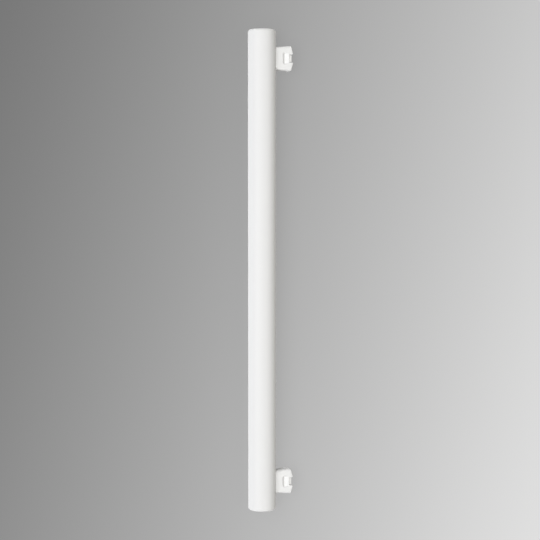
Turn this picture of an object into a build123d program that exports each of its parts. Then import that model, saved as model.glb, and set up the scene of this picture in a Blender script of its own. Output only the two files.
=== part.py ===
from build123d import *
import os
from math import asin, atan2, cos, degrees, hypot, radians, sin, tan

# A straight tubular lamp: an opal tube closed at both ends, with two moulded pegs on its side
# that push into a pair of lampholders. Each peg carries one contact. Lengths are in millimetres.

# Tube
TUBE_LENGTH = 500.0
TUBE_DIAMETER = 29.0
TUBE_RIM_RADIUS = 3.0  # rounding between the wall and the flat closed ends

# Pegs: a flared block with a broad face on each side. Its lengths run along the tube, its thickness across
PEG_END_DISTANCE = 29.5  # from the tube's end to the middle of the peg
PEG_HEIGHT = 17.0  # from the tube's wall to the tip
PEG_ROOT_LENGTH = 23.4  # at the tube's wall
PEG_TIP_LENGTH = 25.8  # where the shoulders begin
PEG_TIP_FLAT = 11.5  # between the shoulders
PEG_SHOULDER_DROP = 2.1
PEG_THICKNESS = 14.0
PEG_SIDE_RADIUS = 2.5  # along the edges that run out from the tube
PEG_TIP_RADIUS = 1.0  # round the edges of the tip
CEMENT_GAP = 0.1  # between the tube and what is cemented to it

# Notch across the tip, between two ears, with walls that open outwards so that the moulding tool draws
NOTCH_WIDTH = 7.8  # at its floor
NOTCH_DEPTH = 3.7
NOTCH_DRAFT = 5.0  # degrees, each wall
NOTCH_FLOOR_RADIUS = 0.5
NOTCH_RIM_CHAMFER = 0.4

# Latch pocket in each broad face: sloped walls that a spring of the lampholder snaps over, and a floor
# that ramps out to the face on the side of the tip
POCKET_LENGTH = 12.8
POCKET_DEPTH = 1.6
POCKET_WALL_SLOPE = 45.0  # degrees from upright
POCKET_RAMP = 4.2
POCKET_HEIGHT = 6.5  # from the tube's wall to the rim
POCKET_CORNER_RADIUS = 0.8  # of the floor

# Contact: a strip bent like a staple, with its legs in two slots of the notch's floor
CONTACT_THICKNESS = 0.5
CONTACT_SPAN = 9.6  # between the middles of the legs
CONTACT_RECESS = 0.6  # below the tips of the ears
CONTACT_LEG = 3.8  # below the notch's floor
CONTACT_BEND_RADIUS = 1.2
CONTACT_SIDE_GAP = 0.4  # to the walls of the notch
SLOT_CLEARANCE = 0.1

# Lead: the wire from the sealed tube to the contact, through a bore along the peg
LEAD_DIAMETER = 1.2
LEAD_CLEARANCE = 0.2
SOLDER_GAP = 0.1

# The lamp is drawn with the tube along Y and the pegs towards +X, their thickness along Z
tube_radius = TUBE_DIAMETER / 2
peg_reach = tube_radius + PEG_HEIGHT
peg_face = PEG_THICKNESS / 2
notch_floor = peg_reach - NOTCH_DEPTH
contact_width = NOTCH_WIDTH - 2 * CONTACT_SIDE_GAP
contact_crown = peg_reach - CONTACT_RECESS - CONTACT_THICKNESS / 2
contact_foot = notch_floor - CONTACT_LEG


def closed_face(outline):
    return make_face(outline.edges() + Line(outline @ 1, outline @ 0).edges())


def tube():
    body = Rot(90, 0, 0) * Cylinder(tube_radius, TUBE_LENGTH)
    return fillet(body.edges().filter_by(GeomType.CIRCLE), TUBE_RIM_RADIUS)


def tube_seat():
    return Rot(90, 0, 0) * Cylinder(tube_radius + CEMENT_GAP, TUBE_LENGTH)


def peg_block():
    shoulder = peg_reach - PEG_SHOULDER_DROP
    tip_half = PEG_TIP_LENGTH / 2
    root_half = PEG_ROOT_LENGTH / 2
    flare = (tip_half - root_half) / (shoulder - tube_radius)
    axis_half = root_half - flare * tube_radius
    outline = Polyline(
        (0, -axis_half),
        (shoulder, -tip_half),
        (peg_reach, -PEG_TIP_FLAT / 2),
        (peg_reach, PEG_TIP_FLAT / 2),
        (shoulder, tip_half),
        (0, axis_half),
    )
    block = extrude(closed_face(outline), peg_face, both=True)
    across = block.faces().sort_by(Axis.Y)
    side_edges = across[0].edges() + across[-1].edges()
    broad_edges = block.faces().filter_by(Axis.Z).edges()
    block = fillet(side_edges & broad_edges, PEG_SIDE_RADIUS)
    tip = block.faces().filter_by(lambda face: face.center().X > shoulder)
    return fillet(tip.edges(), PEG_TIP_RADIUS)


def notch():
    floor_half = NOTCH_WIDTH / 2
    mouth_half = floor_half + NOTCH_DEPTH * tan(radians(NOTCH_DRAFT))
    outline = FilletPolyline(
        (peg_reach, -mouth_half),
        (notch_floor, -floor_half),
        (notch_floor, floor_half),
        (peg_reach, mouth_half),
        radius=NOTCH_FLOOR_RADIUS,
    )
    return extrude(closed_face(outline), PEG_THICKNESS, both=True)


def latch_pocket():
    wall_run = POCKET_DEPTH * tan(radians(POCKET_WALL_SLOPE))
    foot = tube_radius + POCKET_HEIGHT + wall_run
    slope = degrees(atan2(POCKET_DEPTH, POCKET_RAMP))
    ramp = Plane((foot, 0, peg_face - POCKET_DEPTH)).rotated((0, -slope, 0))
    # The cutter runs on past the end of the ramp, in the open, so its far corners leave no mark
    floor = ramp * RectangleRounded(
        2 * POCKET_RAMP,
        POCKET_LENGTH - 2 * wall_run,
        POCKET_CORNER_RADIUS,
        align=(Align.MIN, Align.CENTER),
    )
    return extrude(floor, 2 * POCKET_DEPTH, dir=(0, 0, 1), taper=-POCKET_WALL_SLOPE)


def contact_slots():
    slot = Box(
        peg_reach - contact_foot,
        contact_width + 2 * SLOT_CLEARANCE,
        CONTACT_THICKNESS + 2 * SLOT_CLEARANCE,
        align=(Align.MIN, Align.CENTER, Align.CENTER),
    )
    return [Pos(contact_foot, 0, side * CONTACT_SPAN / 2) * slot for side in (-1, 1)]


def rod_along_peg(radius, end):
    return Plane.YZ * Cylinder(radius, end, align=(Align.CENTER, Align.CENTER, Align.MIN))


def peg():
    block = peg_block()
    cutter = notch()
    body = block - cutter
    body = chamfer(new_edges(block, cutter, combined=body), NOTCH_RIM_CHAMFER)
    body -= tube_seat()
    body -= latch_pocket()
    body -= mirror(latch_pocket(), Plane.XY)
    body -= contact_slots()
    body -= rod_along_peg(LEAD_DIAMETER / 2 + LEAD_CLEARANCE, peg_reach)
    return body


def contact():
    half_span = CONTACT_SPAN / 2
    path = Plane.XZ * FilletPolyline(
        (contact_foot, -half_span),
        (contact_crown, -half_span),
        (contact_crown, half_span),
        (contact_foot, half_span),
        radius=CONTACT_BEND_RADIUS,
    )
    start = Plane(path @ 0, x_dir=(0, 1, 0), z_dir=path % 0)
    return sweep(start * Rectangle(contact_width, CONTACT_THICKNESS), path=path)


def lead():
    crown_underside = contact_crown - CONTACT_THICKNESS / 2
    return rod_along_peg(LEAD_DIAMETER / 2, crown_underside - SOLDER_GAP) - tube_seat()


# The lamp lies on a surface: it has rolled about the tube until the lower edges of the tips touch down too
tip_edge_x = peg_reach - PEG_TIP_RADIUS
tip_edge_z = peg_face - PEG_TIP_RADIUS
tip_edge_distance = hypot(tip_edge_x, tip_edge_z)
dip = asin((tube_radius - PEG_TIP_RADIUS) / tip_edge_distance) - atan2(tip_edge_z, tip_edge_x)
widest = tip_edge_x * cos(dip) + tip_edge_z * sin(dip) + PEG_TIP_RADIUS
middle = (widest - tube_radius) / 2  # half way between the tube's far side and the tips
lying = Pos(-middle, 0, tube_radius) * Rot(0, degrees(dip), 0)

os.makedirs("parts", exist_ok=True)
export_step(lying * tube(), "parts/opal_tube.step")
for end, side in (("upper", 1), ("lower", -1)):
    place = lying * Pos(0, side * (TUBE_LENGTH / 2 - PEG_END_DISTANCE), 0)
    export_step(place * peg(), f"parts/{end}_peg.step")
    export_step(place * contact(), f"parts/{end}_contact.step")
    export_step(place * lead(), f"parts/{end}_lead.step")
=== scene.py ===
import math

import bpy
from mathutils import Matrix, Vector


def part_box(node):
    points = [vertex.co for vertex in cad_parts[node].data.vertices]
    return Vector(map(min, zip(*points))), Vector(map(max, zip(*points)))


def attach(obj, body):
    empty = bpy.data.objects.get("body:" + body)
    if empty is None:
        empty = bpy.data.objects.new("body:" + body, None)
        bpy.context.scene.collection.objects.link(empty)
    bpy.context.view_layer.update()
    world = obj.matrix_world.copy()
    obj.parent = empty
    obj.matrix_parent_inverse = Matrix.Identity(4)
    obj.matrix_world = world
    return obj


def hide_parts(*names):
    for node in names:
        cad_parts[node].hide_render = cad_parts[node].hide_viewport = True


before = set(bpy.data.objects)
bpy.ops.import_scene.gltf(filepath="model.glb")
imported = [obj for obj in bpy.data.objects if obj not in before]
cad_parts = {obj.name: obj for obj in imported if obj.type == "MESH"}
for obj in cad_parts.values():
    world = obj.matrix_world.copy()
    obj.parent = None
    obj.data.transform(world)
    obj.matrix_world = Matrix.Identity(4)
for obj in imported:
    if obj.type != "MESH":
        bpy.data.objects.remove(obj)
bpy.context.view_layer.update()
print("frame loaded:", ", ".join(sorted(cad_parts)))


def deselectAll():
    bpy.ops.object.select_all(action="DESELECT")


# Node helpers
def addNode(tree, kind, **settings):
    node = tree.nodes.new(kind)
    for name, value in settings.items():
        setattr(node, name, value)
    return node


def newMaterial(name):
    material = bpy.data.materials.new(name)
    material.use_nodes = True
    return material, material.node_tree, material.node_tree.nodes["Principled BSDF"]


# Grain shared by all finishes: a fine and a broad noise, stretched as the surface was drawn or moulded
grainDetail = {"Fine": 3.0, "Broad": 2.0}


def buildGrainGroup():
    group = bpy.data.node_groups.new("surfaceGrain", "ShaderNodeTree")
    group.interface.new_socket("Stretch", in_out="INPUT", socket_type="NodeSocketVector")
    for name in grainDetail:
        group.interface.new_socket(name + " Scale", in_out="INPUT", socket_type="NodeSocketFloat")
        group.interface.new_socket(name, in_out="OUTPUT", socket_type="NodeSocketFloat")
    entry = addNode(group, "NodeGroupInput")
    leave = addNode(group, "NodeGroupOutput")
    place = addNode(group, "ShaderNodeTexCoord")
    stretch = addNode(group, "ShaderNodeVectorMath", operation="MULTIPLY")
    group.links.new(place.outputs["Object"], stretch.inputs[0])
    group.links.new(entry.outputs["Stretch"], stretch.inputs[1])
    for name, detail in grainDetail.items():
        noise = addNode(group, "ShaderNodeTexNoise")
        noise.inputs["Detail"].default_value = detail
        group.links.new(stretch.outputs["Vector"], noise.inputs["Vector"])
        group.links.new(entry.outputs[name + " Scale"], noise.inputs["Scale"])
        group.links.new(noise.outputs["Fac"], leave.inputs[name])
    return group


grainGroup = buildGrainGroup()


def finishFromLook(name, look):
    material, tree, shader = newMaterial(name)
    grain = addNode(tree, "ShaderNodeGroup", node_tree=grainGroup)
    grain.inputs["Stretch"].default_value = look["stretch"]
    grain.inputs["Fine Scale"].default_value = look["fineScale"]
    grain.inputs["Broad Scale"].default_value = look["broadScale"]
    tone = addNode(tree, "ShaderNodeMix", data_type="RGBA")
    tone.inputs["A"].default_value = (*look["deepColour"], 1)
    tone.inputs["B"].default_value = (*look["paleColour"], 1)
    tree.links.new(grain.outputs["Broad"], tone.inputs["Factor"])
    tree.links.new(tone.outputs["Result"], shader.inputs["Base Color"])
    gloss = addNode(tree, "ShaderNodeMapRange")
    gloss.inputs["To Min"].default_value = look["roughnessLow"]
    gloss.inputs["To Max"].default_value = look["roughnessHigh"]
    tree.links.new(grain.outputs["Fine"], gloss.inputs["Value"])
    tree.links.new(gloss.outputs["Result"], shader.inputs["Roughness"])
    relief = addNode(tree, "ShaderNodeBump")
    relief.inputs["Strength"].default_value = look["reliefStrength"]
    relief.inputs["Distance"].default_value = look["reliefDepth"]
    tree.links.new(grain.outputs["Fine"], relief.inputs["Height"])
    tree.links.new(relief.outputs["Normal"], shader.inputs["Normal"])
    shader.inputs["Metallic"].default_value = look["metallic"]
    shader.inputs["IOR"].default_value = look["ior"]
    shader.inputs["Diffuse Roughness"].default_value = look["diffuseRoughness"]
    return material


# Opal tube: drawn white glass with a satin skin, closed and rounded at both ends
opalLook = {
    "deepColour": (0.862, 0.863, 0.864),
    "paleColour": (0.876, 0.877, 0.878),
    "stretch": (1, 0.08, 1),  # draw lines run along the tube
    "fineScale": 420,
    "broadScale": 45,
    "roughnessLow": 0.50,
    "roughnessHigh": 0.60,
    "reliefStrength": 0.05,
    "reliefDepth": 0.0002,
    "metallic": 0,
    "ior": 1.5,
    "diffuseRoughness": 1.0,
}
opalTube = {
    "sides": 128,
    "rimRadius": 0.003,
    "rimSteps": 8,
    "rimTolerance": 1e-5,  # how far from the tube's end a rim edge may lie
    "smoothAngle": math.radians(30),
}


# Selects the two rim circles and leaves the tube in edit mode
def selectRims(tube, endDistance):
    bpy.ops.object.mode_set(mode="EDIT")
    bpy.ops.mesh.select_mode(type="EDGE")
    bpy.ops.mesh.select_all(action="DESELECT")
    bpy.ops.object.mode_set(mode="OBJECT")
    for edge in tube.data.edges:
        ends = [tube.data.vertices[index].co.y for index in edge.vertices]
        edge.select = abs(sum(ends)) > 2 * endDistance - opalTube["rimTolerance"]
    bpy.ops.object.mode_set(mode="EDIT")


def makeOpalTube():
    low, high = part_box("opal_tube")
    length = high.y - low.y
    deselectAll()
    bpy.ops.mesh.primitive_cylinder_add(
        vertices=opalTube["sides"],
        radius=(high.x - low.x) / 2,
        depth=length,
        end_fill_type="NGON",
        location=(low + high) / 2,
        rotation=(math.pi / 2, 0, 0),
    )
    tube = bpy.context.object
    tube.name = "opalTubeGlass"
    bpy.ops.object.transform_apply(location=True, rotation=True, scale=True)
    selectRims(tube, length / 2)
    bpy.ops.mesh.bevel(
        offset=opalTube["rimRadius"],
        offset_type="OFFSET",
        segments=opalTube["rimSteps"],
        profile=0.5,  # a quarter circle
    )
    bpy.ops.object.mode_set(mode="OBJECT")
    bpy.ops.object.shade_smooth_by_angle(angle=opalTube["smoothAngle"])
    return tube


tube = makeOpalTube()
tube.data.materials.append(finishFromLook("opalGlass", opalLook))
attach(tube, "root")
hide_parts("opal_tube")
print("opal tube modelled:", len(tube.data.polygons), "faces")


# Moulded pegs, plated contacts and bare leads keep their own solids and get finishes
mouldingLook = {
    "deepColour": (0.895, 0.896, 0.896),
    "paleColour": (0.908, 0.909, 0.909),
    "stretch": (1, 1, 1),
    "fineScale": 2600,
    "broadScale": 160,
    "roughnessLow": 0.38,
    "roughnessHigh": 0.46,
    "reliefStrength": 0.05,
    "reliefDepth": 0.0001,
    "metallic": 0,
    "ior": 1.49,
    "diffuseRoughness": 0.8,
}
platedLook = {
    "deepColour": (0.74, 0.74, 0.74),
    "paleColour": (0.82, 0.82, 0.82),
    "stretch": (1, 0.1, 1),  # rolling lines run along the strip's width
    "fineScale": 5000,
    "broadScale": 700,
    "roughnessLow": 0.55,
    "roughnessHigh": 0.68,
    "reliefStrength": 0.1,
    "reliefDepth": 0.00005,
    "metallic": 1,
    "ior": 1.5,
    "diffuseRoughness": 0.0,
}
wireLook = {
    "deepColour": (0.64, 0.36, 0.22),
    "paleColour": (0.75, 0.46, 0.31),
    "stretch": (0.1, 1, 1),  # draw lines run along the wire
    "fineScale": 6000,
    "broadScale": 900,
    "roughnessLow": 0.25,
    "roughnessHigh": 0.4,
    "reliefStrength": 0.1,
    "reliefDepth": 0.00005,
    "metallic": 1,
    "ior": 1.5,
    "diffuseRoughness": 0.0,
}


def dressNode(name, material):
    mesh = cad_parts[name].data
    mesh.materials.clear()
    mesh.materials.append(material)


finishes = {
    "peg": finishFromLook("whiteMoulding", mouldingLook),
    "contact": finishFromLook("platedContact", platedLook),
    "lead": finishFromLook("leadWire", wireLook),
}
for end in ("upper", "lower"):
    for piece, material in finishes.items():
        dressNode(f"{end}_{piece}", material)
print("pegs, contacts and leads dressed")


# Floor: matt paper whose tone rises softly from one corner to the other
floorPlan = {
    "size": 12.0,
    "darkTone": 0.462,  # in the dark corner of the picture, before the gamma
    "paleTone": 0.886,
    "limits": (0.43, 0.91),  # where the tone levels off, outside the picture
    "softness": 0.12,  # of the levelling
    "reach": (0.28, 0.28),  # half of what the camera sees
    "slope": (0.156, -0.049),  # tone gained across the picture and up it
    "gamma": 2.2,
    "shadeless": 0.86,  # share of the tone that is seen without the lamp's shadow
}


# 1 where the surface is seen, mirrored or looked at through glass, and 0 where it only passes light on
def seenRays(tree):
    rays = addNode(tree, "ShaderNodeLightPath")
    seen = rays.outputs["Is Camera Ray"]
    for kind in ("Is Glossy Ray", "Is Transmission Ray"):
        either = addNode(tree, "ShaderNodeMath", operation="MAXIMUM")
        tree.links.new(seen, either.inputs[0])
        tree.links.new(rays.outputs[kind], either.inputs[1])
        seen = either.outputs["Value"]
    return seen


# A straight rise of the tone across the paper, which levels off smoothly on both sides
def floorColour(tree):
    slopeX, slopeY = floorPlan["slope"]
    reachX, reachY = floorPlan["reach"]
    farthest = abs(slopeX) * reachX + abs(slopeY) * reachY
    place = addNode(tree, "ShaderNodeTexCoord")
    along = addNode(tree, "ShaderNodeVectorMath", operation="DOT_PRODUCT")
    along.inputs[1].default_value = (slopeX / farthest, slopeY / farthest, 0)
    tree.links.new(place.outputs["Object"], along.inputs[0])
    rise = addNode(tree, "ShaderNodeMapRange", clamp=False)
    rise.inputs["From Min"].default_value = -1
    rise.inputs["From Max"].default_value = 1
    rise.inputs["To Min"].default_value = floorPlan["darkTone"]
    rise.inputs["To Max"].default_value = floorPlan["paleTone"]
    tree.links.new(along.outputs["Value"], rise.inputs["Value"])
    tone = rise.outputs["Result"]
    for operation, limit in zip(("SMOOTH_MAX", "SMOOTH_MIN"), floorPlan["limits"]):
        level = addNode(tree, "ShaderNodeMath", operation=operation)
        level.inputs[1].default_value = limit
        level.inputs[2].default_value = floorPlan["softness"]
        tree.links.new(tone, level.inputs[0])
        tone = level.outputs["Value"]
    gamma = addNode(tree, "ShaderNodeGamma")
    gamma.inputs["Gamma"].default_value = floorPlan["gamma"]
    tree.links.new(tone, gamma.inputs["Color"])
    return gamma.outputs["Color"]


def makeFloorPaper():
    material, tree, shader = newMaterial("floorPaper")
    shader.inputs["Roughness"].default_value = 1
    shader.inputs["Specular IOR Level"].default_value = 0
    colour = floorColour(tree)
    tree.links.new(colour, shader.inputs["Base Color"])
    glow = addNode(tree, "ShaderNodeEmission")
    tree.links.new(colour, glow.inputs["Color"])
    share = addNode(tree, "ShaderNodeMath", operation="MULTIPLY")
    share.inputs[1].default_value = floorPlan["shadeless"]
    tree.links.new(seenRays(tree), share.inputs[0])
    blend = addNode(tree, "ShaderNodeMixShader")
    tree.links.new(share.outputs["Value"], blend.inputs["Fac"])
    tree.links.new(shader.outputs["BSDF"], blend.inputs[1])
    tree.links.new(glow.outputs["Emission"], blend.inputs[2])
    tree.links.new(blend.outputs["Shader"], tree.nodes["Material Output"].inputs["Surface"])
    return material


def makeFloor():
    deselectAll()
    bpy.ops.mesh.primitive_plane_add(size=floorPlan["size"], location=(0, 0, 0))
    floor = bpy.context.object
    floor.name = "floor"
    floor.data.materials.append(makeFloorPaper())


makeFloor()
print("floor laid")


# Camera: looks down on the lamp, leaning a little towards its upper end
cameraPlan = {
    "lens": 96.1,
    "sensor": 36.0,
    "aimFromTube": (0.0083, 0.0017, 0),  # from the middle of the tube
    "distance": 1.5,
    "lean": math.radians(3.14),
}


def makeCamera():
    data = bpy.data.cameras.new("camera")
    data.lens = cameraPlan["lens"]
    data.sensor_width = cameraPlan["sensor"]
    camera = bpy.data.objects.new("camera", data)
    bpy.context.scene.collection.objects.link(camera)
    lean = cameraPlan["lean"]
    back = Vector((0, math.sin(lean), math.cos(lean)))
    low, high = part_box("opal_tube")
    aim = (low + high) / 2 + Vector(cameraPlan["aimFromTube"])
    camera.location = aim + cameraPlan["distance"] * back
    camera.rotation_euler = (-lean, 0, 0)  # the picture's top is the lamp's upper end
    bpy.context.scene.camera = camera


makeCamera()
print("camera set")


# Light: a broad softbox above and to the left, a weak warm one on the right and a little fill from the room
softboxes = {
    "keySoftbox": {
        "angle": -31,  # degrees from straight above, to the left
        "distance": 2.0,
        "width": 1.5,
        "length": 3.0,
        "power": 49.5,
        "colour": (0.991, 0.995, 1),
    },
    "fillSoftbox": {
        "angle": 44,
        "distance": 2.0,
        "width": 1.2,
        "length": 3.0,
        "power": 17.5,
        "colour": (1, 0.972, 0.90),
    },
}
roomPlan = {
    "fill": 0.02,  # light that the room adds
    "tone": 0.55,  # its grey, as it is seen and mirrored
}


def makeSoftbox(name, plan):
    data = bpy.data.lights.new(name, "AREA")
    data.shape = "RECTANGLE"
    data.size = plan["width"]
    data.size_y = plan["length"]
    data.energy = plan["power"]
    data.color = plan["colour"]
    box = bpy.data.objects.new(name, data)
    bpy.context.scene.collection.objects.link(box)
    angle = math.radians(plan["angle"])
    box.location = (plan["distance"] * math.sin(angle), 0, plan["distance"] * math.cos(angle))
    box.rotation_euler = (0, angle, 0)
    box.visible_camera = False


for name, plan in softboxes.items():
    makeSoftbox(name, plan)


def makeRoom():
    room = bpy.data.worlds.new("room")
    room.use_nodes = True
    tree = room.node_tree
    fill = tree.nodes["Background"]
    wall = addNode(tree, "ShaderNodeBackground")
    for light, strength in ((fill, roomPlan["fill"]), (wall, roomPlan["tone"])):
        light.inputs["Color"].default_value = (1, 1, 1, 1)
        light.inputs["Strength"].default_value = strength
    blend = addNode(tree, "ShaderNodeMixShader")
    tree.links.new(seenRays(tree), blend.inputs["Fac"])
    tree.links.new(fill.outputs["Background"], blend.inputs[1])
    tree.links.new(wall.outputs["Background"], blend.inputs[2])
    tree.links.new(blend.outputs["Shader"], tree.nodes["World Output"].inputs["Surface"])
    bpy.context.scene.world = room


makeRoom()
bpy.context.scene.view_settings.view_transform = "Standard"
print("light set")
